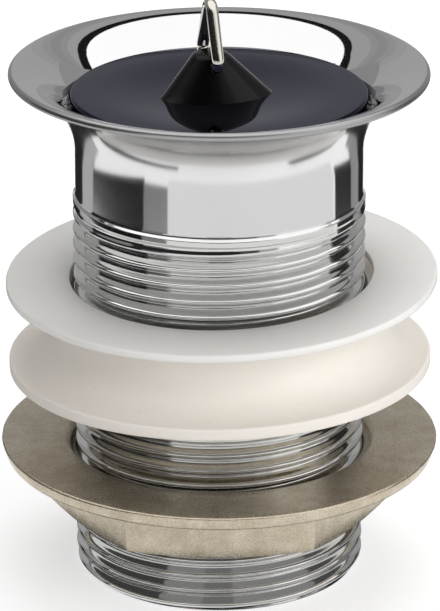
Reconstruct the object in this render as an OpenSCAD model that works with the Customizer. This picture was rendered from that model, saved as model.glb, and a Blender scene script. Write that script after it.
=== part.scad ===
// Basin waste fitting with a lift-out plug, drawn as it stands loosely put together.
// Z is the fitting's axis and points up. The origin is the centre of the tail end.
// All sizes are in millimetres.

/* [Valve body] */
// Height from the tail end to the top of the flange's rim
body_h = 74.8; // [72:0.2:110]
// Outside diameter of the tail's pipe thread, which the other diameters follow
thread_d = 41.91; // [41.7:0.01:42.1]
// Depth of the plain tube under the thread's crests
tube_step = 0.455; // [0.2:0.005:0.8]
// Reach of the flange beyond the tube
flange_reach = 9.2; // [8:0.1:12]
// Rounding of the flange's thin rim
lip_r = 0.6; // [0.4:0.05:0.7]
// Length of the thread, from the tail end up
thread_l = 55; // [48:0.2:56]
// Wall between the thread's crests and the bore
tail_wall = 2.755; // [2.3:0.005:3.2]
// Chamfer at the tail end, inside and outside
tail_chamfer = 1; // [0.3:0.1:1.2]

/* [Flange and throat] */
// Slope of the dish just inside the rim, in degrees
dish_slope_rim = 12; // [9:1:15]
// Depth of the dish, from the rim down to the edge of the well
dish_depth = 5.05; // [4.6:0.05:5.4]
// Turn of the flange's hollow underside, from the tube out to the rim, in degrees
flare_turn = 78; // [70:1:82]
// Height of the well's straight wall, from its edge down to the seat
well_depth = 0.55; // [0.4:0.05:1]
// Step from the bore in to the throat under the seat
throat_step = 1; // [0.6:0.1:1.6]
// Gap from the plug's underside to the strainer bars
strainer_gap = 1.6; // [1:0.1:4]
// Width of a strainer bar
bar_w = 2.6; // [2:0.1:4]
// Height of a strainer bar
bar_h = 3.0; // [2:0.1:4]
// Diameter of the boss where the bars cross
strainer_boss_d = 8.0; // [6:0.2:12]

/* [Plug] */
// Reach of the cover disc beyond the outside of the tube
cover_reach = 0.5; // [0:0.05:0.8]
// Height of the flange's rim above the cover's edge
plug_drop = 3.45; // [3.3:0.05:4]
// Thickness of the cover at its edge
cover_t = 1.4; // [1.2:0.1:2]
// Depth of the shallow dish in the cover's top
cover_dish = 0.65; // [0.3:0.05:0.8]
// Width of the cover's flat edge round the dish
cover_rim = 1.5; // [1:0.1:3]
// Step from the cover's edge in to the rubber stopper
stopper_step = 0.6; // [0.4:0.1:1.4]
// Length of the rubber stopper below its cone
stopper_tip = 0.4; // [0.2:0.05:1]
// Wall of the hollow stopper's skirt at its lower end
skirt_wall = 3.7; // [2.5:0.1:5]
// Depth of the hollow under the stopper
skirt_depth = 3.0; // [2:0.1:3.6]
// Diameter of the rubber neck through the cover
neck_d = 6.4; // [5:0.1:8]

/* [Handle] */
// Height of the handle above the middle of the cover
handle_h = 6.4; // [6:0.1:8]
// Length of the handle's oval foot
foot_l = 16.1; // [14:0.1:18]
// Width of the handle's oval foot
foot_w = 8.8; // [8:0.1:10]
// Diameter of the handle's flat top
handle_top_d = 4.5; // [4.2:0.1:5]
// Turn of the handle about the fitting's axis, in degrees
handle_turn = 14.4; // [0:0.2:30]
// Sideways place of the handle's foot
foot_x = -0.4; // [-1:0.1:1]
// Lean of the soft handle's top from its foot
handle_lean = 0.85; // [0:0.05:1]

/* [Pull ring] */
// Diameter of the ring's wire
wire_d = 1.75; // [1.4:0.05:1.8]
// Height of the wire through the handle above the middle of the cover
eye_h = 4.85; // [4.6:0.05:4.9]
// Half width of the triangle's foot, to its unrounded corner
ring_half = 5.1; // [4.9:0.1:6]
// Slope of the triangle's sides from its foot, in degrees
ring_slope = 63; // [61:1:66]
// Bend radius of the wire at the triangle's corners
ring_bend = 1.25; // [1.1:0.05:1.4]

/* [Flat washer] */
// Width of the washer from its bore to its edge
washer_w = 9.15; // [7:0.05:11]
// Thickness of the washer
washer_t = 1.2; // [1:0.1:2]
// Tilt of the loose washer towards the front, in degrees
washer_tilt_front = 1.7; // [0:0.1:2]
// Tilt of the loose washer towards the left, in degrees
washer_tilt_left = 1.6; // [0:0.1:2]
// Shift of the loose washer to the right
washer_shift = 0.35; // [0:0.05:0.5]

/* [Profile gasket] */
// Reach of the gasket's rim beyond its hub
rim_reach = 6.45; // [5:0.05:8]
// Thickness of the gasket's rim
gasket_rim_t = 1.75; // [1.2:0.05:2.4]
// Height of the gasket
gasket_h = 11.8; // [10.6:0.1:13]
// Wall of the gasket's hub
hub_wall = 2.55; // [2:0.05:3.5]
// Gap between the nut and the gasket as they stand
gasket_gap = 11.05; // [6:0.05:12]
// Tilt of the loose gasket towards the left, in degrees
gasket_tilt_left = 1.1; // [0:0.1:1.2]

/* [Flange nut] */
// Height of the nut's underside above the tail end
nut_rest = 9.4; // [4:0.2:12]
// Height of the nut
nut_h = 10.05; // [8:0.05:12]
// Reach of the nut's flange beyond the thread
nut_reach = 10.6; // [8:0.1:13]
// Thickness of the nut's flange
nut_flange_t = 2.06; // [1.6:0.02:3]
// Wall between the thread and the hexagon's flats
hex_wall = 1.75; // [1.4:0.05:4]
// Turn of the hexagon about the fitting's axis, in degrees
hex_turn = 0.4; // [0:0.2:30]
// Slope of the bevel on the hexagon's lower corners, in degrees
hex_bevel = 18; // [10:1:30]
// Chamfer at the mouth of the nut's thread
nut_chamfer = 1.4; // [0.8:0.1:1.6]

/* [Clearances] */
// Gap round the cover's edge in the well
cover_clear = 0.55; // [0.4:0.05:0.7]
// Gap between the stopper and its conical seat
seat_clear = 0.3; // [0.2:0.05:0.4]
// Gap between the neck and its hole in the cover
neck_clear = 0.1; // [0.05:0.01:0.2]
// Gap between the ring's wire and its hole in the handle
wire_clear = 0.1; // [0.05:0.01:0.15]
// Gap between the gasket and the thread
gasket_clear = 0.4; // [0.35:0.05:0.6]
// Gap between the washer and the thread
washer_clear = 0.8; // [0.7:0.05:1]
// Running gap between the nut and the thread
nut_clear = 0.05; // [0.02:0.01:0.1]
// Gap where the washer's low side rests on the gasket
rest_clear = 0.1; // [0.05:0.01:0.2]

/* [Hidden] */
$fn = 96;
arc_steps = 10;
oval_steps = 32;
overlap = 0.01;
edge = 0.3; // bevel on the rings' and the nut's edges, and height of the handle's foot
throat_land = 0.5; // throat wall below the strainer bars
rim_land = 0.4; // flat between the gasket's cove and its rim
bar_root = 1; // length of a strainer bar inside the wall

thread_r = thread_d / 2;
tube_r = thread_r - tube_step;
flange_r = tube_r + flange_reach;
bore_r = thread_r - tail_wall;
throat_r = bore_r - throat_step;
cover_r = tube_r + cover_reach;
well_r = cover_r + cover_clear;

// Rim of the flange: a small round whose middle is at lip_at
lip_at = [flange_r - lip_r, body_h - lip_r];
// The dish is one arc that leaves the rim's round at a slope and ends on the well's edge
dish_start = lip_at + lip_r * [-sin(dish_slope_rim), cos(dish_slope_rim)];
well_edge_z = body_h - dish_depth;
dish_run = dish_start[0] - well_r;
dish_slope_end = 2 * atan((dish_start[1] - well_edge_z) / dish_run) - dish_slope_rim;
dish_r = dish_run / (sin(dish_slope_end) - sin(dish_slope_rim));
dish_at = dish_start - dish_r * [-sin(dish_slope_rim), cos(dish_slope_rim)];

// The hollow underside is one arc that leaves the tube upright and meets the rim's round
flare_r = (lip_at[0] - tube_r + lip_r * cos(flare_turn)) / (1 - cos(flare_turn));
flare_at = lip_at + (flare_r + lip_r) * [cos(flare_turn), -sin(flare_turn)];

// Heights of the plug's cover and of the seat under it
plug_z = body_h - plug_drop;
cover_z = plug_z - cover_t;
well_z = well_edge_z - well_depth;
seat_end_z = well_z - (well_r - throat_r);

// The stopper's cone runs beside the seat's cone of 45 degrees
stopper_r = cover_r - stopper_step;
cone_shift = seat_clear * sqrt(2);
stopper_cone_z = well_z - (well_r - cone_shift - stopper_r);
stopper_end_r = throat_r - cone_shift;
stopper_cone_end_z = stopper_cone_z - (stopper_r - stopper_end_r);
stopper_z = stopper_cone_end_z - stopper_tip;
skirt_r = stopper_end_r - skirt_wall;

// Strainer bars under the stopper, and the throat's lower end under them
bar_top_z = stopper_z - strainer_gap;
bar_z = bar_top_z - bar_h;
throat_end_z = bar_z - throat_land;
bore_top_z = throat_end_z - throat_step;

// Handle and pull ring, measured from the middle of the dished cover
cover_mid_z = plug_z - cover_dish;
dish_edge_r = cover_r - cover_rim;
foot_end_r = foot_l / 2 + abs(foot_x);
foot_rise = cover_dish * pow(foot_end_r / dish_edge_r, 2) + overlap;
wire_r = wire_d / 2;
eye_x = foot_x - handle_lean;
eye_z = cover_mid_z + eye_h;
ring_turn = handle_turn - 90;
ring_foot_cut = ring_bend / tan(ring_slope / 2);
ring_top_cut = ring_bend / tan(90 - ring_slope);
ring_foot = 2 * (ring_half - ring_foot_cut);
ring_side = ring_half / cos(ring_slope) - ring_foot_cut - ring_top_cut;

// Rings and nut on the thread
gasket_bore_r = thread_r + gasket_clear;
hub_r = gasket_bore_r + hub_wall;
cove_r = rim_reach - rim_land;
washer_bore_r = thread_r + washer_clear;
nut_top_z = nut_rest + nut_h;
gasket_z = nut_top_z + gasket_gap;
washer_tilt_left_rel = washer_tilt_left - gasket_tilt_left;
washer_tilt_rel = norm([washer_tilt_front, washer_tilt_left_rel]);
washer_z = gasket_z + gasket_h + hub_r * tan(washer_tilt_rel) + rest_clear;
hex_flat_r = thread_r + hex_wall;
hex_r = hex_flat_r * 2 / sqrt(3);

// Points along an arc about c, from angle a to angle b. The next arc of a run leaves out its first.
function arc(c, r, a, b, first = 0) = [
    for (i = [first : arc_steps]) c + r * [cos(a + (b - a) * i / arc_steps), sin(a + (b - a) * i / arc_steps)]
];

// Outline of the body's wall, from the tail's inner edge up the inside and down the outside
function body_outline() = concat(
    [[bore_r + tail_chamfer, 0], [bore_r, tail_chamfer], [bore_r, bore_top_z]],
    [[throat_r, throat_end_z], [throat_r, seat_end_z], [well_r, well_z]],
    arc(dish_at, dish_r, 90 + dish_slope_end, 90 + dish_slope_rim),
    arc(lip_at, lip_r, 90 + dish_slope_rim, -flare_turn, 1),
    arc(flare_at, flare_r, 180 - flare_turn, 180, 1),
    [[tube_r, thread_l + thread_r - tube_r], [thread_r, thread_l]],
    [[thread_r, tail_chamfer], [thread_r - tail_chamfer, 0]]
);

// Chromed body: flange, tube, threaded tail and the strainer bars cast into the throat
module valve_body() {
    color("gainsboro") {
        rotate_extrude() polygon(body_outline());
        translate([0, 0, bar_z]) strainer();
    }
}

// Two crossed bars and their boss, let into the throat's wall
module strainer() {
    linear_extrude(bar_h) {
        circle(d = strainer_boss_d);
        for (a = [45, 135])
            rotate([0, 0, a])
                square([2 * (throat_r + bar_root), bar_w], center = true);
    }
}

// Dark cover disc with a shallow dish and a hole for the rubber neck
module plug_cover() {
    dish_arc_r = (pow(dish_edge_r, 2) + pow(cover_dish, 2)) / (2 * cover_dish);
    dish_turn = asin(dish_edge_r / dish_arc_r);
    hole_r = neck_d / 2 + neck_clear;
    hole_turn = asin(hole_r / dish_arc_r);
    color("darkslateblue")
        rotate_extrude()
            polygon(concat(
                [[hole_r, cover_z], [cover_r - edge, cover_z], [cover_r, cover_z + edge]],
                arc([cover_r - edge, plug_z - edge], edge, 0, 90),
                arc([0, cover_mid_z + dish_arc_r], dish_arc_r, dish_turn - 90, hole_turn - 90)
            ));
}

// Black rubber moulding: hollow stopper below the cover, neck through it and handle above
module rubber_stopper() {
    color("black")
        difference() {
            union() {
                rotate_extrude() polygon(stopper_outline());
                translate([foot_x, 0, cover_mid_z]) handle();
            }
            translate([eye_x, 0, eye_z])
                rotate([0, 90, ring_turn])
                    cylinder(r = wire_r + wire_clear, h = foot_w * 2, center = true);
        }
}

function stopper_outline() = [
    [0, stopper_z + skirt_depth],
    [skirt_r, stopper_z + skirt_depth],
    [skirt_r, stopper_z],
    [stopper_end_r, stopper_z],
    [stopper_end_r, stopper_cone_end_z],
    [stopper_r, stopper_cone_z],
    [stopper_r, cover_z],
    [neck_d / 2, cover_z],
    [neck_d / 2, cover_mid_z + overlap],
    [0, cover_mid_z + overlap]
];

// Oval cone that leans a little to one side. Its foot clears the rise of the cover's dish.
module handle() {
    hull() {
        translate([0, 0, foot_rise])
            rotate([0, 0, handle_turn])
                oval(foot_l / 2, foot_w / 2);
        translate([-handle_lean, 0, handle_h - overlap])
            cylinder(d = handle_top_d, h = overlap, $fn = oval_steps);
    }
    cylinder(d = neck_d, h = handle_h / 2);
}

// Thin oval plate, drawn as a polygon of points on an ellipse
module oval(a, b) {
    linear_extrude(edge)
        polygon([for (i = [0 : oval_steps - 1]) [a * cos(i * 360 / oval_steps), b * sin(i * 360 / oval_steps)]]);
}

// Wire bent to a triangle through the handle, standing upright: each piece carries the next
module pull_ring() {
    color("whitesmoke")
        translate([eye_x, 0, eye_z])
            rotate([0, 0, ring_turn])
                rotate([90, 0, 0])
                    translate([-ring_foot / 2, 0, 0])
                        wire(ring_foot)
                            bend(180 - ring_slope)
                                wire(ring_side)
                                    bend(2 * ring_slope)
                                        wire(ring_side)
                                            bend(180 - ring_slope);
}

// Straight wire along X, with the next piece at its end
module wire(length) {
    rotate([0, 90, 0]) cylinder(r = wire_r, h = length);
    translate([length, 0, 0]) children();
}

// Wire bent to the left through an angle, with the next piece at its end
module bend(turn) {
    translate([0, ring_bend, 0]) {
        rotate([0, 0, -90])
            rotate_extrude(angle = turn)
                translate([ring_bend, 0])
                    circle(r = wire_r);
        rotate([0, 0, turn]) translate([0, -ring_bend, 0]) children();
    }
}

// Thin translucent washer, lying a little tilted on the gasket
module flat_washer() {
    color("azure")
        translate([washer_shift, 0, washer_z])
            rotate([washer_tilt_front, -washer_tilt_left, 0])
                rotate_extrude()
                    translate([washer_bore_r, 0])
                        square([washer_w, washer_t]);
}

// Soft gasket: thin rim, hollow cove and a hub that stands up to the washer
module profile_gasket() {
    rim_r = hub_r + rim_reach;
    cove_z = gasket_rim_t + cove_r;
    color("ivory")
        translate([0, 0, gasket_z + gasket_h / 2])
            rotate([0, -gasket_tilt_left, 0])
                translate([0, 0, -gasket_h / 2])
                    rotate_extrude()
                        polygon(concat(
                            [[gasket_bore_r, 0], [rim_r - edge, 0], [rim_r, edge], [rim_r, gasket_rim_t - edge]],
                            arc([hub_r + cove_r, cove_z], cove_r, 270, 180),
                            [[hub_r, gasket_h], [gasket_bore_r, gasket_h]]
                        ));
}

// Rough brass nut: round flange above, hexagon below, in one casting
module flange_nut() {
    nut_r = thread_r + nut_reach;
    nut_bore_r = thread_r + nut_clear;
    mouth_r = nut_bore_r + nut_chamfer;
    color("tan")
        translate([0, 0, nut_rest])
            difference() {
                union() {
                    translate([0, 0, nut_h - nut_flange_t])
                        rotate_extrude()
                            polygon([
                                [0, 0], [nut_r - edge, 0], [nut_r, edge],
                                [nut_r, nut_flange_t - edge], [nut_r - edge, nut_flange_t], [0, nut_flange_t]
                            ]);
                    intersection() {
                        rotate([0, 0, hex_turn])
                            cylinder(r = hex_r, h = nut_h - overlap, $fn = 6);
                        cylinder(r1 = hex_flat_r, r2 = hex_flat_r + nut_h / tan(hex_bevel), h = nut_h);
                    }
                }
                translate([0, 0, -overlap])
                    cylinder(r = nut_bore_r, h = nut_h + 2 * overlap);
                translate([0, 0, nut_h - nut_chamfer])
                    cylinder(r1 = nut_bore_r, r2 = mouth_r, h = nut_chamfer);
                cylinder(r1 = nut_bore_r + tail_chamfer, r2 = nut_bore_r, h = tail_chamfer);
            }
}

valve_body();
plug_cover();
rubber_stopper();
pull_ring();
flat_washer();
profile_gasket();
flange_nut();
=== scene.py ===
"""Looks of the basin drain plug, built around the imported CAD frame.

Lengths are millimetres in the row frame: origin at the centre of the tail's end, Z up, the camera on the
-Y side. Angles are written in degrees and are radians once math.radians has turned them. Noise scales are
per metre, so that 1000 gives a grain of about a millimetre, and the distances of bumps are metres.
"""

import math

import bpy
import numpy as np
from mathutils import Matrix, Vector


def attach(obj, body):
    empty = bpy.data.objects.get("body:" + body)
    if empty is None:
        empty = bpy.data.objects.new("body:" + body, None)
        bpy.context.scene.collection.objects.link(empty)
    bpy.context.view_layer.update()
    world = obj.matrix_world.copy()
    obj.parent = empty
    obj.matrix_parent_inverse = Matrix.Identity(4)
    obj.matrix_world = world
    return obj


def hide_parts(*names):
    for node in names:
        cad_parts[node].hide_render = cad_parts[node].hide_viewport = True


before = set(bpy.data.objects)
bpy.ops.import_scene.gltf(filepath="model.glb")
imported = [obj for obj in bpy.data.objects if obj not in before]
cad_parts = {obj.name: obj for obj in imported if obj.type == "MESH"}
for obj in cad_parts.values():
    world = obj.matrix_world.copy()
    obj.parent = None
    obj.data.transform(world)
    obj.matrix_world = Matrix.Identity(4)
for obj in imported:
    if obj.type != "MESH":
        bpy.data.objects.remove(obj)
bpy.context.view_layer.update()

MM = 0.001
TAU = 2 * math.pi
UP = Vector((0, 0, 1))

# sizes of the valve body, as in the CAD source. The dish leaves the rim at RIM_SLOPE and reaches the well
# at WELL_SLOPE, where ROLL_R rounds its edge here
BODY_H = 74.8
TUBE_R = 20.5
BORE_R = 18.2
THROAT_R = 17.2
WELL_R = 21.55
WELL_Z = 69.2
FLANGE_R = 29.7
LIP_R = 0.6
RIM_SLOPE = 12.0
WELL_SLOPE = 56.3
ROLL_R = 0.3
BAR_TOP_Z = 62.85
BAR_H = 3.0
BAR_HALF_W = 1.3
BOSS_R = 4.0

# the thread, which the source has as a plain cylinder. The two skins of the tube meet at SKIN_TOP
THREAD_R = 20.955
CREST_R = 20.85
THREAD_DEPTH = 1.479
PITCH = 2.309
THREAD_TOP = 55.0
THREAD_START = 0.29
SHOULDER_Z = 56.5
SKIN_TOP = 62.6
TAIL_Z = 0.03
TAIL_IN_R = BORE_R + 0.95
TAIL_OUT_R = THREAD_R - 0.98

# sizes of the plug and its ring
PLUG_Z = 71.35
COVER_R = 21.0
COVER_Z = 69.95
COVER_EDGE_R = 0.4
COVER_DISH = 0.65
COVER_MID_Z = PLUG_Z - COVER_DISH
DIMPLE_IN = 5.5
DIMPLE_OUT = 18.5
STOPPER_Z = 64.45
STOPPER_WALL = 3.7
STOPPER_HOLLOW = 3.0
NECK_R = 3.2
SEAT_GAP = 0.3
HANDLE_X = -0.4
HANDLE_H = 6.4
HANDLE_LEAN = -0.85
HANDLE_FOOT = (8.05, 4.4)
HANDLE_TOP_R = 2.25
HANDLE_TURN = math.radians(14.4)
EYE = Vector((-1.25, 0.0, 75.55))
EYE_HOLE_R = 0.97
ALONG_EYE = Vector((math.cos(HANDLE_TURN - math.pi / 2), math.sin(HANDLE_TURN - math.pi / 2), 0))
# the source has 0.875: a little less keeps the wire inside that solid
WIRE_R = 0.870
WIRE_BEND = 1.25
RING_HALF_W = 5.1
RING_SLOPE = math.radians(63)

# sizes of the two rings and the nut
GASKET_Z = 30.5
GASKET_H = 11.8
GASKET_IN = 21.355
GASKET_TILT = 1.1
HUB_R = 23.905
RIM_R = 30.355
RIM_T = 1.75
COVE_R = 6.05
WASHER_IN = 21.755
WASHER_OUT = 30.905
WASHER_T = 1.2
WASHER_SHIFT = 0.35
WASHER_TILT_X = 1.7
WASHER_TILT_Y = 1.6
NUT_Z = 9.4
NUT_H = 10.05
NUT_R = 31.555
NUT_FLANGE_T = 2.06
NUT_TURN = math.radians(0.4)
HEX_FLAT_R = 22.705

# a turned profile that reaches the axis stops this far from it
AXIS = 0.01


# mesh helpers
def arc(cx, cz, r, a, b, n, first=0):
    """Points on an arc in the (r, z) plane, from angle a to angle b."""
    out = []
    for i in range(first, n + 1):
        t = math.radians(a + (b - a) * i / n)
        out.append((cx + r * math.cos(t), cz + r * math.sin(t)))
    return out


def ring_faces(rings, count, wrap=False):
    """Quads between rings of count points each. With wrap, the last ring joins the first."""
    faces = []
    for i in range(rings if wrap else rings - 1):
        j = (i + 1) % rings
        for k in range(count):
            m = (k + 1) % count
            faces.append((i * count + k, i * count + m, j * count + m, j * count + k))
    return faces


def cap_faces(rings, count):
    """The flat ends of an open run of rings."""
    return [tuple(reversed(range(count))), tuple((rings - 1) * count + k for k in range(count))]


def new_object(name, verts, faces, sharp=None):
    """Makes a smooth-shaded mesh object. Edges steeper than sharp stay hard."""
    mesh = bpy.data.meshes.new(name)
    mesh.from_pydata([tuple(float(c) * MM for c in v) for v in verts], [], faces)
    mesh.validate()
    mesh.polygons.foreach_set("use_smooth", [True] * len(mesh.polygons))
    if sharp is not None:
        mesh.set_sharp_from_angle(angle=math.radians(sharp))
    mesh.update()
    obj = bpy.data.objects.new(name, mesh)
    bpy.context.scene.collection.objects.link(obj)
    return obj


def lathe(name, profile, segments, closed=True, sharp=None, move=None):
    """Turns a profile of (r, z) points about Z. A closed profile makes a ring."""
    verts = []
    for r, z in profile:
        for s in range(segments):
            a = TAU * s / segments
            verts.append(Vector((r * math.cos(a), r * math.sin(a), z)))
    if move is not None:
        verts = [move @ v for v in verts]
    return new_object(name, verts, ring_faces(len(profile), segments, closed), sharp)


def join(parts, name):
    """Joins mesh objects into one."""
    bpy.ops.object.select_all(action="DESELECT")
    for part in parts:
        part.select_set(True)
    bpy.context.view_layer.objects.active = parts[0]
    bpy.ops.object.join()
    parts[0].name = parts[0].data.name = name
    return parts[0]


# material helpers
class Nodes:
    """A short way to write node materials."""

    def __init__(self, name):
        self.mat = bpy.data.materials.new(name)
        self.mat.use_nodes = True
        self.tree = self.mat.node_tree
        self.bsdf = self.tree.nodes["Principled BSDF"]
        self.coords = self.tree.nodes.new("ShaderNodeTexCoord").outputs["Object"]

    def feed(self, socket, value):
        """Links an output to a socket, or sets the socket to a value."""
        if isinstance(value, bpy.types.NodeSocket):
            self.tree.links.new(value, socket)
        else:
            socket.default_value = value

    def node(self, kind, inputs=None, **settings):
        made = self.tree.nodes.new(kind)
        for key, value in settings.items():
            setattr(made, key, value)
        for socket, value in (inputs or {}).items():
            self.feed(made.inputs[socket], value)
        return made

    def noise(self, scale, detail, rough, vector=None, distortion=0.0):
        inputs = {"Vector": vector or self.coords, "Scale": scale, "Detail": detail}
        inputs |= {"Roughness": rough, "Distortion": distortion}
        return self.node("ShaderNodeTexNoise", inputs).outputs["Fac"]

    def stretched(self, x, y, z):
        """Coordinates scaled by x, y and z: a small scale draws a noise out that way."""
        inputs = {"Vector": self.coords, "Scale": (x, y, z)}
        return self.node("ShaderNodeMapping", inputs).outputs["Vector"]

    def ramp(self, fac, stops):
        made = self.node("ShaderNodeValToRGB", {"Fac": fac})
        elements = made.color_ramp.elements
        while len(elements) < len(stops):
            elements.new(0.5)
        for element, (position, color) in zip(elements, stops):
            element.position = position
            element.color = (*color, 1)
        return made.outputs["Color"]

    def map(self, value, source, target=(0.0, 1.0)):
        """Maps a value from the source range to the target range."""
        inputs = {"Value": value, "From Min": source[0], "From Max": source[1]}
        inputs |= {"To Min": target[0], "To Max": target[1]}
        return self.node("ShaderNodeMapRange", inputs).outputs["Result"]

    def add(self, a, b):
        return self.node("ShaderNodeMath", {0: a, 1: b}, operation="ADD").outputs[0]

    def mix(self, fac, a, b):
        """Mixes two colours, each an output or an (r, g, b) value."""
        a, b = ((*color, 1) if isinstance(color, tuple) else color for color in (a, b))
        return self.node("ShaderNodeMix", {0: fac, 6: a, 7: b}, data_type="RGBA").outputs[2]

    def bump(self, height, strength, distance, normal=None):
        inputs = {"Height": height, "Strength": strength, "Distance": distance}
        if normal is not None:
            inputs["Normal"] = normal
        return self.node("ShaderNodeBump", inputs).outputs["Normal"]

    def set(self, **values):
        """Sets the shader's sockets, named with _ for a space, and gives the material."""
        for key, value in values.items():
            self.feed(self.bsdf.inputs[key.replace("_", " ")], value)
        return self.mat


def dulled(color, share):
    return tuple(c * share for c in color)


def chrome(name, color, rough, lines):
    """Plated metal: a mirror with faint wipe marks and polishing lines."""
    n = Nodes(name)
    smudge = n.noise(55.0, 5.0, 0.55, distortion=0.4)
    fine = n.noise(900.0, 3.0, 0.6, n.stretched(1.0, 1.0, 5.0))
    normal = n.bump(n.noise(38.0, 2.0, 0.4), 0.05, 0.0004)
    return n.set(
        Base_Color=n.mix(n.map(smudge, (0.3, 0.8)), color, dulled(color, 0.955)),
        Metallic=1.0,
        Roughness=n.add(n.map(smudge, (0.35, 0.75), rough), n.map(fine, (0.3, 0.7), (0.0, lines))),
        Normal=n.bump(fine, 0.03, 0.00002, normal),
    )


def brushed_chrome(name, color):
    """Plated tube, brushed round the axis: it blurs what it mirrors up and down only."""
    n = Nodes(name)
    line = n.noise(1300.0, 3.0, 0.6, n.stretched(0.05, 0.05, 1.0))
    patch = n.noise(60.0, 4.0, 0.5)
    return n.set(
        Base_Color=n.mix(n.map(patch, (0.3, 0.75)), color, dulled(color, 0.95)),
        Metallic=1.0,
        Roughness=n.map(patch, (0.3, 0.75), (0.10, 0.14)),
        Normal=n.bump(line, 0.10, 0.00002),
        Tangent=n.node("ShaderNodeTangent", direction_type="RADIAL", axis="Z").outputs[0],
        Anisotropic=0.95,
        Anisotropic_Rotation=0.25,
    )


def threaded_chrome(name, color):
    """Plated pipe thread: turning lines round the flanks, and duller patches."""
    n = Nodes(name)
    turned = n.noise(1500.0, 3.0, 0.65, n.stretched(0.06, 0.06, 1.0))
    patch = n.noise(70.0, 4.0, 0.55)
    return n.set(
        Base_Color=n.mix(n.map(patch, (0.3, 0.75)), color, dulled(color, 0.93)),
        Metallic=1.0,
        Roughness=n.add(n.map(patch, (0.35, 0.75), (0.05, 0.10)), n.map(turned, (0.3, 0.7), (0.0, 0.05))),
        Normal=n.bump(turned, 0.07, 0.00002),
    )


def cover_gloss(name):
    """Near black mirror with a blue sheen, slow waves, faint orange peel and an uneven polish."""
    n = Nodes(name)
    deep, sheen = (0.011, 0.011, 0.024), (0.015, 0.015, 0.030)
    waves = n.bump(n.noise(48.0, 1.0, 0.3), 0.12, 0.0005)
    return n.set(
        Base_Color=n.mix(n.map(n.noise(40.0, 4.0, 0.5), (0.3, 0.7)), deep, sheen),
        Metallic=1.0,
        Roughness=n.map(n.noise(300.0, 3.0, 0.5), (0.3, 0.8), (0.035, 0.075)),
        Normal=n.bump(n.noise(420.0, 2.0, 0.4), 0.03, 0.00004, waves),
        Specular_Tint=(0.92, 0.92, 1.0, 1.0),
    )


def rubber(name):
    """Black moulded rubber: half gloss with a fine grain and a few paler rubs."""
    n = Nodes(name)
    black, rubbed = (0.0016, 0.0016, 0.0020), (0.0045, 0.0045, 0.005)
    rub = n.noise(130.0, 5.0, 0.6, distortion=0.6)
    return n.set(
        Base_Color=n.mix(n.map(rub, (0.5, 0.85)), black, rubbed),
        Roughness=n.map(rub, (0.3, 0.8), (0.18, 0.28)),
        Normal=n.bump(n.noise(1700.0, 2.0, 0.5), 0.10, 0.00004),
        Specular_IOR_Level=0.2,
    )


def washer_plastic(name):
    """White plastic with flow marks that lets a little light through."""
    n = Nodes(name)
    shade, light = (0.83, 0.815, 0.785), (0.875, 0.86, 0.825)
    flow = n.noise(45.0, 4.0, 0.5, n.stretched(1.0, 1.0, 3.0))
    return n.set(
        Base_Color=n.mix(n.map(flow, (0.3, 0.7)), shade, light),
        Roughness=n.map(n.noise(260.0, 2.0, 0.4), (0.3, 0.8), (0.30, 0.36)),
        Normal=n.bump(n.noise(900.0, 2.0, 0.5), 0.04, 0.00002),
        Subsurface_Weight=0.35,
        Subsurface_Radius=(1.0, 1.0, 0.9),
        Subsurface_Scale=0.0016,
    )


def gasket_rubber(name):
    """Cream rubber with mould flow, a satin skin and faint specks."""
    n = Nodes(name)
    shade, light, spot = (0.835, 0.785, 0.715), (0.875, 0.83, 0.77), (0.66, 0.60, 0.52)
    flow = n.noise(34.0, 5.0, 0.55, n.stretched(1.0, 1.0, 2.2), 0.3)
    speck = n.noise(700.0, 2.0, 0.5)
    cream = n.mix(n.map(flow, (0.3, 0.72)), shade, light)
    return n.set(
        Base_Color=n.mix(n.map(speck, (0.66, 0.80), (0.0, 0.25)), cream, spot),
        Roughness=n.map(flow, (0.3, 0.8), (0.42, 0.58)),
        Normal=n.bump(speck, 0.08, 0.00004),
        Subsurface_Weight=0.2,
        Subsurface_Radius=(1.0, 0.85, 0.65),
        Subsurface_Scale=0.0012,
    )


def cast_metal(name):
    """Sand-cast brass with dull nickel over it: grainy, mottled and finely pitted."""
    n = Nodes(name)
    dull, plain, pale = (0.50, 0.435, 0.33), (0.60, 0.53, 0.415), (0.70, 0.635, 0.52)
    sand = (0.27, 0.225, 0.155)
    grain = n.noise(3400.0, 3.0, 0.7)
    lump = n.noise(330.0, 4.0, 0.6)
    pit = n.node("ShaderNodeTexVoronoi", {"Vector": n.coords, "Scale": 520.0}, feature="F1")
    mottle = n.ramp(lump, [(0.28, dull), (0.5, plain), (0.74, pale)])
    normal = n.bump(lump, 0.22, 0.00014)
    normal = n.bump(grain, 0.36, 0.00006, normal)
    return n.set(
        Base_Color=n.mix(n.map(grain, (0.40, 0.58), (0.36, 0.0)), mottle, sand),
        Metallic=0.85,
        Roughness=n.map(grain, (0.3, 0.75), (0.23, 0.38)),
        Normal=n.bump(n.map(pit.outputs["Distance"], (0.0, 0.35)), 0.12, 0.00006, normal),
    )


PLATE = (0.72, 0.72, 0.72)
CHROME = chrome("chromed_brass", PLATE, (0.020, 0.045), 0.012)
BRUSHED = brushed_chrome("chromed_tube", PLATE)
# the lip's chrome is painted darker than the plate: painted shade that dims the lip's highlight
SHADED_LIP_CHROME = chrome("chromed_lip_painted_shade", (0.40, 0.40, 0.40), (0.30, 0.38), 0.02)
THREAD_CHROME = threaded_chrome("chromed_thread", (0.72, 0.72, 0.71))
WIRE = chrome("bright_wire", (0.66, 0.63, 0.575), (0.05, 0.10), 0.04)
COVER = cover_gloss("dark_gloss_cover")
RUBBER = rubber("black_rubber")
WASHER = washer_plastic("white_plastic")
GASKET = gasket_rubber("cream_rubber")
CAST = cast_metal("cast_nut")


def paint(obj, *materials):
    for material in materials:
        obj.data.materials.append(material)


def place(obj, body, node):
    """Gives a piece the body it rides on, and hides the CAD node that it stands for."""
    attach(obj, body)
    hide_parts(node)


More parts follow.
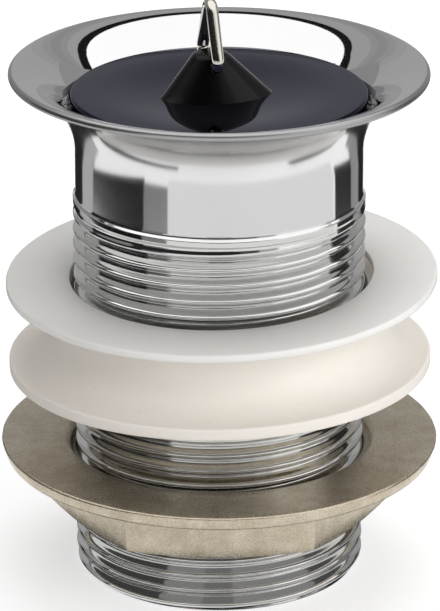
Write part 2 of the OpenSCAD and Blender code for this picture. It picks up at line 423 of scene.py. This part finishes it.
# valve body
FLANGE_SEGMENTS = 320
SKIN_SEGMENTS = 288
# steps of the profile past the dish that are the lip, rougher than the dish and with its chrome painted
# darker as shade to dim its highlight, before the brushed underside
LIP_FIRST, LIP_LAST = 2, 22


def flange_profile():
    """Well, dish, rim and hollow underside of the flange, down to the plain tube."""
    lip_x, lip_z = FLANGE_R - LIP_R, BODY_H - LIP_R
    rim, well = math.radians(RIM_SLOPE), math.radians(WELL_SLOPE)
    dish_end = lip_x - LIP_R * math.sin(rim)
    dish = (dish_end - WELL_R - ROLL_R * (1 - math.sin(well))) / (math.sin(well) - math.sin(rim))
    dish_x = lip_x + (dish - LIP_R) * math.sin(rim)
    dish_z = lip_z - (dish - LIP_R) * math.cos(rim)
    roll_x = dish_x - (dish - ROLL_R) * math.sin(well)
    roll_z = dish_z + (dish - ROLL_R) * math.cos(well)
    turn = math.pi / 2 - rim
    flare = (lip_x - TUBE_R + LIP_R * math.cos(turn)) / (1 - math.cos(turn))
    flare_x = lip_x + (flare + LIP_R) * math.cos(turn)
    flare_z = lip_z - (flare + LIP_R) * math.sin(turn)
    inside = [(WELL_R, WELL_Z)]
    inside += arc(roll_x, roll_z, ROLL_R, 180, 90 + WELL_SLOPE, 8)
    inside += arc(dish_x, dish_z, dish, 90 + WELL_SLOPE, 90 + RIM_SLOPE, 56, 1)
    outside = arc(lip_x, lip_z, LIP_R, 90 + RIM_SLOPE, RIM_SLOPE - 90, 24, 1)
    outside += arc(flare_x, flare_z, flare, 90 + RIM_SLOPE, 180, 60, 1)
    return inside, outside


def throat_profile():
    """The inside from the tail end up to the well, with a soft edge on each step."""
    seat_end = WELL_Z - (WELL_R - THROAT_R)
    throat_end = BAR_TOP_Z - BAR_H - 0.5
    return [
        (TAIL_IN_R, TAIL_Z),
        (BORE_R + 0.75, 0.22),
        (BORE_R, 1.0),
        (BORE_R, throat_end - 1.05),
        (BORE_R - 0.12, throat_end - 0.85),
        (THROAT_R + 0.1, throat_end - 0.1),
        (THROAT_R, throat_end + 0.1),
        (THROAT_R, seat_end - 0.12),
        (THROAT_R + 0.08, seat_end + 0.1),
        (WELL_R - 0.12, WELL_Z - 0.14),
    ]


def clamped(value):
    return min(1.0, max(0.0, value))


def groove(phase):
    """Share of the thread's depth at a phase of one turn: round crest, hollow flanks, round root."""
    flat, soft = 0.08, 0.8
    t = 1 - abs(phase - math.floor(phase) - 0.5) * 2
    t = clamped((t - flat) / (1 - 2 * flat))
    return t * t * (3 - 2 * t) * soft + t * (1 - soft)


def thread_skin():
    """Outer skin of the tube and tail with its right-hand helical thread, cut into a raised blank."""
    row_h, shoulder_h, run_in, run_out = 0.085, 0.4, 0.4, 2.6
    lead_in, lead_slope, lead_top = 1.0, 0.98, 1.6
    rows = int((SHOULDER_Z - TAIL_Z) / row_h)
    levels = [TAIL_Z + (SHOULDER_Z - TAIL_Z) * i / rows for i in range(rows + 1)]
    levels += [57.0, 58.5, 60.0, 61.5, SKIN_TOP]
    depth = CREST_R - THREAD_R + THREAD_DEPTH
    verts = []
    for z in levels:
        blank = TUBE_R + (CREST_R - TUBE_R) * clamped((SHOULDER_Z - z) / shoulder_h)
        fade = clamped((THREAD_TOP + run_in - z) / run_out)
        for s in range(SKIN_SEGMENTS):
            a = TAU * s / SKIN_SEGMENTS
            r = blank - depth * groove(z / PITCH - a / TAU + THREAD_START) * fade
            if z < lead_top:
                r = min(r, THREAD_R - lead_in + z * lead_slope)
            verts.append((r * math.cos(a), r * math.sin(a), z))
    return new_object("threaded_tail", verts, ring_faces(len(levels), SKIN_SEGMENTS))


def strainer_bar(angle):
    """One bar across the throat with rounded upper and lower edges, as a swept section."""
    half_l, edge, spans, edge_steps = THROAT_R + 0.6, 0.35, 24, 4
    right, top = BAR_HALF_W - edge, BAR_H - edge
    section = []
    for cx, cz, start in ((right, top, 0), (-right, top, 90), (-right, edge, 180), (right, edge, 270)):
        section += arc(cx, cz, edge, start, start + 90, edge_steps)
    spin = Matrix.Rotation(angle, 3, "Z")
    verts = []
    for i in range(spans + 1):
        x = -half_l + 2 * half_l * i / spans
        verts += [spin @ Vector((x, y, BAR_TOP_Z - BAR_H + z)) for y, z in section]
    faces = ring_faces(spans + 1, len(section)) + cap_faces(spans + 1, len(section))
    return new_object("strainer_bar", verts, faces, 40)


def strainer_boss():
    low, top, edge = BAR_TOP_Z - BAR_H, BAR_TOP_Z, 0.4
    profile = [(AXIS, low), (BOSS_R - edge, low), (BOSS_R - 0.1, low + 0.12), (BOSS_R, low + edge)]
    profile += [(BOSS_R, top - edge), (BOSS_R - 0.1, top - 0.12), (BOSS_R - edge, top), (AXIS, top)]
    return lathe("strainer_boss", profile, 96, closed=False, sharp=35)


def make_valve_body():
    """Two pieces: the flange with the tube's inside and the strainer, and the threaded outer skin."""
    inside, outside = flange_profile()
    inside = throat_profile() + inside
    profile = inside + outside + [(TUBE_R, SKIN_TOP)]
    flange = lathe("flange_skin", profile, FLANGE_SEGMENTS, closed=False, sharp=40)
    tail_ring = lathe("tail_ring", [(TAIL_OUT_R, TAIL_Z), (TAIL_IN_R, TAIL_Z)], SKIN_SEGMENTS, closed=False)
    # these two profiles run clockwise round their metal, so their faces are turned to look outwards
    flange.data.flip_normals()
    tail_ring.data.flip_normals()
    parts = [flange, tail_ring, strainer_boss(), *(strainer_bar(math.radians(a)) for a in (45, 135))]
    for part in parts:
        paint(part, CHROME)
    paint(flange, BRUSHED, SHADED_LIP_CHROME)
    for poly in flange.data.polygons:
        step = poly.index // FLANGE_SEGMENTS - len(inside)
        poly.material_index = 1 if step > LIP_LAST else 2 if step >= LIP_FIRST else 0
    place(join(parts, "chromed_flange"), "waste", "valve_body")

    skin = thread_skin()
    paint(skin, THREAD_CHROME, BRUSHED)
    for poly in skin.data.polygons:
        poly.material_index = 1 if poly.center.z > SHOULDER_Z * MM else 0
    place(skin, "waste", "valve_body")


# plug: cover, rubber stopper with its handle, and pull ring
def cover_level(r):
    """Height of the cover's top: level, and drawn down to the handle's foot in the middle."""
    t = clamped((r - DIMPLE_IN) / (DIMPLE_OUT - DIMPLE_IN))
    return COVER_MID_Z + COVER_DISH * (0.5 - 0.5 * math.cos(math.pi * t))


def make_cover():
    top_from, step, steps = 19.5, 0.3, 54
    hole = top_from - step * steps
    profile = [(hole, COVER_Z), (COVER_R - 0.3, COVER_Z), (COVER_R - 0.08, COVER_Z + 0.08)]
    profile.append((COVER_R, COVER_Z + 0.3))
    profile += arc(COVER_R - COVER_EDGE_R, PLUG_Z - COVER_EDGE_R, COVER_EDGE_R, 0, 90, 12)
    for k in range(steps + 1):
        r = top_from - step * k
        profile.append((r, cover_level(r)))
    cover = lathe("cover_disc", profile, 256, sharp=35)
    paint(cover, COVER)
    place(cover, "plug", "plug_cover")


def handle_mesh():
    """Oval cone, straight in its flanks, with a foot that follows the cover and a soft round top."""
    count, round_from, round_in, foot_h, foot_gap = 96, 5.95, 0.55, 0.6, 0.01
    heights = [0.0, 0.12, 0.3, 0.5, 0.8, 1.4, 2.2, 3.0, 3.7, 4.3]
    heights += [4.8, 5.3, 5.7, 5.95, 6.12, 6.25, 6.34, 6.39]
    foot = Vector((HANDLE_X, 0.0, COVER_MID_Z))
    c, s = math.cos(HANDLE_TURN), math.sin(HANDLE_TURN)
    verts = []
    for h in heights:
        t = h / HANDLE_H
        soft = max(0.0, h - round_from) / (HANDLE_H - round_from)
        drop = round_in * (1 - math.sqrt(max(0.0, 1 - soft * soft)))
        a, b = (half * (1 - t) + HANDLE_TOP_R * t - drop for half in HANDLE_FOOT)
        for k in range(count):
            u = TAU * k / count
            x, y = a * math.cos(u), b * math.sin(u)
            px, py = x * c - y * s + HANDLE_LEAN * t, x * s + y * c
            rise = 0.0
            if h < foot_h:
                level = cover_level(math.hypot(px + HANDLE_X, py)) - COVER_MID_Z
                rise = level * (1 - h / foot_h) + foot_gap
            verts.append(foot + Vector((px, py, h + rise)))
    faces = ring_faces(len(heights), count) + cap_faces(len(heights), count)
    return new_object("handle", verts, faces)


def drill_eye(handle):
    """Cuts the hole for the ring's wire through the handle."""
    bpy.ops.mesh.primitive_cylinder_add(
        vertices=48, radius=EYE_HOLE_R * MM, depth=20 * MM, location=EYE * MM
    )
    drill = bpy.context.object
    drill.rotation_mode = "QUATERNION"
    drill.rotation_quaternion = ALONG_EYE.to_track_quat("Z", "Y")
    bpy.context.view_layer.update()
    cut = handle.modifiers.new("eye", "BOOLEAN")
    cut.operation = "DIFFERENCE"
    cut.solver = "EXACT"
    cut.object = drill
    bpy.context.view_layer.objects.active = handle
    bpy.ops.object.modifier_apply(modifier="eye")
    bpy.data.objects.remove(drill)
    handle.data.set_sharp_from_angle(angle=math.radians(38))


def stopper_profile():
    """The stopper under the cover, hollow from below, its cone clear of the seat all round."""
    gap = SEAT_GAP * math.sqrt(2)
    cone_end, cone_top = THROAT_R - gap, COVER_R - 0.6
    cone_z = WELL_Z - (WELL_R - gap - cone_top)
    cone_low = cone_z - (cone_top - cone_end)
    skirt = cone_end - STOPPER_WALL
    hollow_z = STOPPER_Z + STOPPER_HOLLOW
    neck_z = COVER_MID_Z + 0.3
    return [
        (AXIS, hollow_z), (skirt - 0.4, hollow_z), (skirt - 0.1, hollow_z - 0.1), (skirt, hollow_z - 0.4),
        (skirt, STOPPER_Z + 0.4), (skirt + 0.12, STOPPER_Z + 0.12), (skirt + 0.4, STOPPER_Z),
        (cone_end - 0.4, STOPPER_Z), (cone_end - 0.1, STOPPER_Z + 0.06), (cone_end, cone_low),
        (cone_top - 0.1, cone_z - 0.1), (cone_top, cone_z + 0.15), (cone_top, COVER_Z - 0.25),
        (cone_top - 0.15, COVER_Z), (NECK_R, COVER_Z), (NECK_R, neck_z), (AXIS, neck_z),
    ]


def make_stopper():
    handle = handle_mesh()
    drill_eye(handle)
    stopper = lathe("stopper", stopper_profile(), 160, closed=False, sharp=40)
    plug = join([handle, stopper], "rubber_plug")
    paint(plug, RUBBER)
    place(plug, "plug", "rubber_stopper")


def ring_path():
    """Points and headings along a triangle with bent corners, in the ring's own plane."""
    foot_cut = WIRE_BEND / math.tan(RING_SLOPE / 2)
    top_cut = WIRE_BEND / math.tan(math.pi / 2 - RING_SLOPE)
    side = RING_HALF_W / math.cos(RING_SLOPE) - foot_cut - top_cut
    path, heading, at = [], 0.0, Vector((foot_cut - RING_HALF_W, 0.0))

    def straight(length, steps):
        nonlocal at
        ahead = Vector((math.cos(heading), math.sin(heading)))
        for i in range(steps):
            path.append((at + ahead * length * i / steps, heading))
        at = at + ahead * length

    def corner(turn, steps):
        nonlocal at, heading
        centre = at + Vector((-math.sin(heading), math.cos(heading))) * WIRE_BEND
        for i in range(steps):
            h = heading + turn * i / steps
            path.append((centre + Vector((math.sin(h), -math.cos(h))) * WIRE_BEND, h))
        heading += turn
        at = centre + Vector((math.sin(heading), -math.cos(heading))) * WIRE_BEND

    straight(2 * (RING_HALF_W - foot_cut), 10)
    corner(math.pi - RING_SLOPE, 24)
    straight(side, 12)
    corner(2 * RING_SLOPE, 28)
    straight(side, 12)
    corner(math.pi - RING_SLOPE, 24)
    return path


def make_ring():
    count, path, across = 32, ring_path(), ALONG_EYE.cross(UP)
    verts = []
    for point, heading in path:
        outward = Vector((math.sin(heading), -math.cos(heading)))
        for k in range(count):
            u = TAU * k / count
            in_plane = point + outward * WIRE_R * math.cos(u)
            verts.append(EYE + ALONG_EYE * in_plane.x + UP * in_plane.y + across * WIRE_R * math.sin(u))
    ring = new_object("ring_wire", verts, ring_faces(len(path), count, wrap=True))
    # the section runs clockwise seen along the path
    ring.data.flip_normals()
    paint(ring, WIRE)
    place(ring, "ring", "pull_ring")


# flat washer and profile gasket
def tilted(degrees, axis):
    return Matrix.Rotation(math.radians(degrees), 4, axis)


def make_washer():
    """Flat ring that leans on the gasket's hub."""
    low, top, soft, edge = 0.0, WASHER_T, 0.06, 0.09
    profile = [
        (WASHER_IN, low + 0.2), (WASHER_IN + soft, low + soft), (WASHER_IN + 0.2, low),
        (WASHER_OUT - 0.3, low), (WASHER_OUT - edge, low + edge), (WASHER_OUT, low + 0.3),
        (WASHER_OUT, top - 0.3), (WASHER_OUT - edge, top - edge), (WASHER_OUT - 0.3, top),
        (WASHER_IN + 0.2, top), (WASHER_IN + soft, top - soft), (WASHER_IN, top - 0.2),
    ]
    lean = math.radians(math.hypot(WASHER_TILT_X, WASHER_TILT_Y - GASKET_TILT))
    rest_z = GASKET_Z + GASKET_H + HUB_R * math.tan(lean) + 0.1
    lay = Matrix.Translation((WASHER_SHIFT, 0, rest_z))
    lay = lay @ tilted(-WASHER_TILT_Y, "Y") @ tilted(WASHER_TILT_X, "X")
    washer = lathe("white_washer", profile, 256, sharp=50, move=lay)
    paint(washer, WASHER)
    place(washer, "washer", "flat_washer")


def make_gasket():
    """Ring with a thin rim below, a cove and a plain hub above."""
    edge, top = 0.35, GASKET_H
    bevel = [(0.0, 0.25), (0.075, 0.07), (0.245, 0.0)]
    profile = [(GASKET_IN + out, up) for out, up in bevel]
    profile += arc(RIM_R - edge, edge, edge, -90, 0, 8)
    profile += arc(RIM_R - edge, RIM_T - edge, edge, 0, 80, 8)
    profile += arc(HUB_R + COVE_R, RIM_T + COVE_R, COVE_R, 268, 180, 40)
    profile += [(HUB_R, 9.5), (HUB_R, top - edge), (HUB_R - 0.1, top - 0.1)]
    profile.append((HUB_R - edge, top))
    profile += [(GASKET_IN + out, top - up) for out, up in reversed(bevel)]
    middle = Matrix.Translation((0, 0, GASKET_Z + top / 2))
    lay = middle @ tilted(-GASKET_TILT, "Y") @ Matrix.Translation((0, 0, -top / 2))
    gasket = lathe("cream_gasket", profile, 256, sharp=40, move=lay)
    paint(gasket, GASKET)
    place(gasket, "gasket", "profile_gasket")


# flange nut
def hexagon(a):
    """The hexagon's radius at an angle, its corners rounded as a casting's are."""
    cut, soft = 0.30, 0.22
    flat = (a - NUT_TURN) % (math.pi / 3) - math.pi / 6
    sharp = HEX_FLAT_R / math.cos(flat)
    blunt = HEX_FLAT_R * 2 / math.sqrt(3) - cut
    return sharp if sharp <= blunt else blunt + soft * math.tanh((sharp - blunt) / soft)


def nut_mesh():
    """Cast nut: round flange over a hexagon whose lower corners are bevelled, hollow for the thread."""
    count = 720
    bore = THREAD_R + 0.05
    mouth = bore + 1.4
    face_r = HEX_FLAT_R - 0.25
    under = NUT_H - NUT_FLANGE_T
    low_edge, draft, top_edge = 0.42, 0.45, 0.35
    slope = math.tan(math.radians(18))
    verts = []

    def loop(shape):
        """Adds a ring of points whose radius and height are a function of the angle."""
        for s in range(count):
            a = TAU * s / count + NUT_TURN
            r, z = shape(a)
            verts.append((r * math.cos(a), r * math.sin(a), NUT_Z + z))

    def circle(r, z):
        loop(lambda a: (r, z))

    def hex_ring(out, z):
        loop(lambda a: (hexagon(a) + out, z))

    def bevel(share):
        """A loop of the bevelled underside, a share of the way from the flat face to the hexagon."""
        inset = 0.06 if share == 1.0 else 0

        def shape(a):
            r = face_r + (hexagon(a) - face_r) * share
            return r - inset, max(0.0, (r - HEX_FLAT_R) * slope) + 0.02 * share

        loop(shape)

    for r, z in ((bore, 1.1), (bore + 1.0, 0.05), (bore + 1.15, 0.0), (face_r, 0.0)):
        circle(r, z)
    for share in (0.0, 0.25, 0.5, 0.75, 1.0):
        bevel(share)
    loop(lambda a: (hexagon(a), (hexagon(a) - HEX_FLAT_R) * slope + 0.28))
    for out, z in ((0, 2.0), (0, 3.5), (0, 5.0), (0, 6.5), (0, under - 0.7)):
        hex_ring(out, z)
    for out, z in ((0.10, under - 0.32), (0.34, under - 0.08), (0.70, under)):
        hex_ring(out, z)
    circle(NUT_R - 0.95, under)
    for q in map(math.radians, (-75, -45, -15, 0)):
        circle(NUT_R - draft - low_edge + low_edge * math.cos(q), under + low_edge + low_edge * math.sin(q))
    for q in map(math.radians, (0, 20, 45, 70, 90)):
        circle(NUT_R - top_edge + top_edge * math.cos(q), NUT_H - top_edge + top_edge * math.sin(q))
    for r in (30.0, 28.0, 26.0, 24.0, mouth + 0.3):
        circle(r, NUT_H)
    for r, z in ((mouth + 0.05, NUT_H - 0.06), (bore + 0.1, NUT_H - 1.3), (bore, NUT_H - 1.5)):
        circle(r, z)
    return new_object("cast_flange_nut", verts, ring_faces(len(verts) // count, count, wrap=True), 40)


def wander(mesh):
    """A casting is never quite true: its skin wanders inwards by a few hundredths of a millimetre."""
    slow, fine, skin_from, rim_from = 0.00025, 0.0004, 22.5, 31
    phase = np.random.default_rng(7).uniform(0, TAU, 3)
    for v in mesh.vertices:
        a = math.atan2(v.co.y, v.co.x)
        r = math.hypot(v.co.x, v.co.y) / MM
        if r > skin_from:
            k = 1 - slow * (1 + math.sin(5 * a + phase[0]) * 0.5 + math.sin(11 * a + phase[1]) * 0.3)
            k -= fine * (1 + math.sin(37 * a + phase[2])) * (1 if r > rim_from else 0.3)
            v.co.x *= k
            v.co.y *= k


def make_nut():
    nut = nut_mesh()
    wander(nut.data)
    paint(nut, CAST)
    place(nut, "nut", "flange_nut")


make_valve_body()
make_cover()
make_stopper()
make_ring()
make_washer()
make_gasket()
make_nut()

# the set. MIRROR_Z is the height on the tube that elevations are seen from, ROOM_R the radius of the walls,
# FLOOR_LIFT the glow that shows the floor white, WALL_FOOT the lowest that an upright card may reach
MIRROR_Z = 60.0
ROOM_R = 1100
FLOOR_HALF = 4000
FLOOR_LIFT = 0.50
WALL_FOOT = 1
PAPER_Z = 0.6


def prop(name, verts, faces, material):
    """A flat or bent prop of the set."""
    mesh = bpy.data.meshes.new(name)
    mesh.from_pydata([tuple(c * MM for c in p) for p in verts], [], faces)
    obj = bpy.data.objects.new(name, mesh)
    bpy.context.scene.collection.objects.link(obj)
    paint(obj, material)
    return obj


def card(name, verts, faces, value):
    """A card or light panel that only mirrors see. Its value is its brightness, 1 is white."""
    mat = bpy.data.materials.new(name)
    mat.use_nodes = True
    shader = mat.node_tree.nodes["Principled BSDF"].inputs
    shader["Base Color"].default_value = (0, 0, 0, 1)
    shader["Specular IOR Level"].default_value = 0.0
    shader["Roughness"].default_value = 1.0
    shader["Emission Color"].default_value = (1, 1, 1, 1)
    shader["Emission Strength"].default_value = value
    obj = prop(name, verts, faces, mat)
    obj.visible_camera = False
    obj.visible_diffuse = False
    obj.visible_shadow = False
    obj.visible_transmission = False
    obj.visible_volume_scatter = False


def around(azimuth, radius, z):
    """A point of the set: azimuth from the camera's side, to its right positive."""
    a = math.radians(azimuth)
    return (radius * math.sin(a), -radius * math.cos(a), z)


def strip(name, az_a, az_b, steps, edges, value):
    """A bent card between two azimuths. edges gives the radius and height of its two edges, by share."""
    verts = []
    for i in range(steps + 1):
        share = i / steps
        verts += [around(az_a + (az_b - az_a) * share, r, z) for r, z in edges(share)]
    faces = [(2 * i, 2 * i + 2, 2 * i + 3, 2 * i + 1) for i in range(steps)]
    card(name, verts, faces, value)


def fence(name, az_a, az_b, radius, low, high, value):
    """An upright bent card, between two heights."""
    steps = max(2, int(abs(az_b - az_a) / 5))
    strip(name, az_a, az_b, steps, lambda share: ((radius, low), (radius, high)), value)


def wall(name, az_a, az_b, el_a, el_b, radius, value):
    """An upright bent card, between two elevations seen from the tube."""
    low = MIRROR_Z + radius * math.tan(math.radians(el_a))
    high = MIRROR_Z + radius * math.tan(math.radians(el_b))
    fence(name, az_a, az_b, radius, max(low, WALL_FOOT), high, value)


def paper(name, az_a, az_b, near_a, near_b, far, value):
    """A card lying on the floor. Its near edge runs from radius near_a to near_b."""

    def edges(share):
        return (near_a + (near_b - near_a) * share, PAPER_Z), (far, PAPER_Z)

    strip(name, az_a, az_b, 12, edges, value)


def panel(name, ratios, height, value):
    """A level panel overhead. Its corners are x and y over its height above the tube."""
    verts = [(x * height, y * height, MIRROR_Z + height) for x, y in ratios]
    card(name, verts, [tuple(range(len(verts)))], value)


def seen_directly(tree):
    """An output that is 1 for rays from the camera, also by mirrors and through glass, and else 0."""
    rays = tree.nodes.new("ShaderNodeLightPath").outputs
    seen = rays["Is Camera Ray"]
    for kind in ("Is Glossy Ray", "Is Transmission Ray"):
        either = tree.nodes.new("ShaderNodeMath")
        either.operation = "MAXIMUM"
        tree.links.new(seen, either.inputs[0])
        tree.links.new(rays[kind], either.inputs[1])
        seen = either.outputs[0]
    return seen


def floor_paper():
    """White paper. The camera and mirrors see it lifted to white, and it throws plain light on the part."""
    mat = bpy.data.materials.new("floor_paper")
    mat.use_nodes = True
    tree = mat.node_tree
    shader = tree.nodes["Principled BSDF"].inputs
    shader["Roughness"].default_value = 0.9
    shader["Specular IOR Level"].default_value = 0.0
    shader["Emission Color"].default_value = (1, 1, 1, 1)
    lift = tree.nodes.new("ShaderNodeMath")
    lift.operation = "MULTIPLY"
    lift.inputs[1].default_value = FLOOR_LIFT
    tree.links.new(seen_directly(tree), lift.inputs[0])
    tree.links.new(lift.outputs[0], shader["Emission Strength"])
    grain = tree.nodes.new("ShaderNodeTexNoise")
    grain.inputs["Scale"].default_value = 12.0
    ramp = tree.nodes.new("ShaderNodeValToRGB")
    ramp.color_ramp.elements[0].color = (0.66, 0.66, 0.66, 1)
    ramp.color_ramp.elements[1].color = (0.70, 0.70, 0.70, 1)
    tree.links.new(grain.outputs["Fac"], ramp.inputs[0])
    tree.links.new(ramp.outputs[0], shader["Base Color"])
    return mat


def level_sheet(half, z):
    return [(-half, -half, z), (half, -half, z), (half, half, z), (-half, half, z)]


prop("floor", level_sheet(FLOOR_HALF, 0), [(0, 1, 2, 3)], floor_paper())

# behind the part: a grey sheet in level bands. Each runs from one ratio of depth to height to the next
BACK, BACK_HALF = 1200.0, 2600
BACK_EDGES = (9.0, 2.0, 1.7, 1.5, 1.27, 1.12, 0.5)
BACK_VALUES = (0.43, 0.40, 0.365, 0.33, 0.36, 0.42)
for k, value in enumerate(BACK_VALUES):
    low, high = MIRROR_Z + BACK / BACK_EDGES[k], MIRROR_Z + BACK / BACK_EDGES[k + 1]
    corners = [(-BACK_HALF, low), (BACK_HALF, low), (BACK_HALF, high), (-BACK_HALF, high)]
    card(f"card_back_{k}", [(x, BACK, z) for x, z in corners], [(0, 1, 2, 3)], value)

# the sides of the room: darker on the left, bright at the front right where the window is.
# Each row: name, first and last azimuth, lowest and highest elevation, radius, value
WALLS = [
    ("card_back_foot", 149, 211, -20, 6.5, 1190, 0.42),
    ("card_left_back", -149, -108, -20, 28, ROOM_R, 0.31),
    ("card_left_side", -108, -75, -20, 40, ROOM_R, 0.25),
    ("card_front_dark", -75, 15, 5, 38, ROOM_R, 0.02),
    ("card_front_dim", 15, 30, 5, 38, ROOM_R, 0.08),
    ("card_front_half", 30, 45, 5, 38, ROOM_R, 0.50),
    ("card_window", 45, 90, 5, 42, ROOM_R, 1.25),
    ("card_right_side", 90, 108, -20, 34, ROOM_R, 0.50),
    ("card_right_back", 108, 149, -20, 28, ROOM_R, 0.34),
    ("card_front_low", -75, 90, -20, 5, ROOM_R, 0.85),
    ("card_camera", -9, 10, -18, 6, 900, 0.30),
    ("card_left_up", -114, -59, -17, 16, 240, 0.02),
    ("card_left_grey_up", -59, -42, -16, 8, 250, 0.20),
    ("card_right_up", 98, 126, -16, 10, 250, 0.04),
]
# black, grey and white paper on the floor, with dark mats round the tail's foot that are painted shadow of
# the part, seen only in mirrors.
# Each row: name, first and last azimuth, the near edge's radius at each, the far edge's radius, value
PAPERS = [
    ("card_left", -114, -59, 165, 112, 600, 0.01),
    ("card_left_grey", -59, -39, 135, 140, 600, 0.24),
    ("card_right", 100, 124, 125, 140, 600, 0.03),
    # painted shadow: these two grey sheets at the back left and back right stand for the part's shadow on
    # the floor, as mirrors see it
    ("card_right_grey_shadow", 124, 140, 90, 80, 600, 0.33),
    ("card_left_far_shadow", -134, -114, 80, 90, 600, 0.50),
    ("card_back_left", -163, -134, 62, 62, 600, 0.02),
    ("card_back_right", 140, 161, 62, 62, 600, 0.02),
    ("card_floor_front", -39, 98, 100, 100, 600, 0.92),
    # painted shadow: these dark mats round the tail's foot stand for the part's own shadow on the floor, as
    # mirrors see it
    ("card_foot_shadow_left", -150, -30, 21.6, 21.6, 36, 0.08),
    ("card_foot_shadow_front_left", -30, -8, 21.6, 21.6, 37, 0.36),
    ("card_foot_shadow_front", -8, 7, 21.6, 21.6, 37, 0.26),
    ("card_foot_shadow_front_right", 7, 54, 21.6, 21.6, 37, 0.40),
    ("card_foot_shadow_right", 54, 150, 21.6, 21.6, 36, 0.12),
]
# two low black flags that stand clear of the part.
# Each row: name, first and last azimuth, radius, lowest and highest point, value
FLAGS = [
    ("flag_left", -125, -33, 52, 9.0, 20.0, 0.02),
    ("flag_right", 58.8, 125, 52, 9.0, 20.0, 0.03),
]
for row in WALLS:
    wall(*row)
for row in PAPERS:
    paper(*row)
for row in FLAGS:
    fence(*row)

# the light panel overhead, its far edge a little askew, with a black frame along that edge
PANEL_HALF, PANEL_NEAR, PANEL_FAR, PANEL_SKEW = 1.7, -1.25, 0.68, 0.084
FRAME_HALF, FRAME_MID = 1.8, 0.9
far_l, far_r = PANEL_FAR - PANEL_SKEW * PANEL_HALF, PANEL_FAR + PANEL_SKEW * PANEL_HALF
panel_near = [(-PANEL_HALF, PANEL_NEAR), (PANEL_HALF, PANEL_NEAR)]
panel("card_panel", panel_near + [(PANEL_HALF, far_r), (-PANEL_HALF, far_l)], 800, 1.38)
frame_near = [(-FRAME_HALF, far_l - 0.01), (FRAME_HALF, far_r - 0.01)]
frame_right = [(FRAME_HALF, far_r + 0.34), (FRAME_MID, far_r + 0.12)]
frame_left = [(-FRAME_MID, far_l + 0.20), (-FRAME_HALF, far_l + 0.34)]
panel("card_frame", frame_near + frame_right + frame_left, 806, 0.012)


# light
def studio_world():
    """White to the camera and to mirrors, and a soft pale grey as light."""
    world = bpy.data.worlds.new("studio")
    world.use_nodes = True
    tree = world.node_tree
    tree.nodes.clear()
    out = tree.nodes.new("ShaderNodeOutputWorld")
    background = tree.nodes.new("ShaderNodeBackground")
    background.inputs["Strength"].default_value = 1.0
    mix = tree.nodes.new("ShaderNodeMix")
    mix.data_type = "RGBA"
    mix.inputs[6].default_value = (0.53, 0.53, 0.535, 1)
    mix.inputs[7].default_value = (1, 1, 1, 1)
    tree.links.new(seen_directly(tree), mix.inputs[0])
    tree.links.new(mix.outputs[2], background.inputs["Color"])
    tree.links.new(background.outputs[0], out.inputs[0])
    return world


def area(name, location, target, size_x, size_y, radiance):
    """A softbox of the given brightness, aimed at a point. Mirrors see the cards instead."""
    light = bpy.data.lights.new(name, "AREA")
    light.shape = "RECTANGLE"
    light.size = size_x * MM
    light.size_y = size_y * MM
    light.energy = radiance * math.pi * light.size * light.size_y
    obj = bpy.data.objects.new(name, light)
    obj.location = Vector(location) * MM
    obj.rotation_mode = "QUATERNION"
    obj.rotation_quaternion = (Vector(target) - Vector(location)).to_track_quat("-Z", "Y")
    obj.visible_glossy = False
    bpy.context.scene.collection.objects.link(obj)


bpy.context.scene.world = studio_world()
area("softbox_top", (60, 420, 860), (0, 0, 60), 700, 700, 1.95)
area("softbox_right", (620, -700, 400), (0, 0, 40), 1000, 760, 2.5)

# camera, fitted to the photograph: LENS_PX is its focal length in pixels
LENS_PX = 4035
PHOTO_W = 440
SENSOR = 36.0
DISTANCE = 580.0
PITCH_DOWN = math.radians(21.05)
AIM = Vector((0.115, 0, 38.9))

scene = bpy.context.scene
cam_data = bpy.data.cameras.new("camera")
cam_data.sensor_fit = "HORIZONTAL"
cam_data.sensor_width = SENSOR
cam_data.lens = SENSOR * LENS_PX / PHOTO_W
cam_data.clip_start = 0.01
cam_data.clip_end = 50
cam = bpy.data.objects.new("camera", cam_data)
cam.location = (AIM + Vector((0, -math.cos(PITCH_DOWN), math.sin(PITCH_DOWN))) * DISTANCE) * MM
cam.rotation_euler = (math.pi / 2 - PITCH_DOWN, 0, 0)
scene.collection.objects.link(cam)
scene.camera = cam
scene.view_settings.view_transform = "Standard"
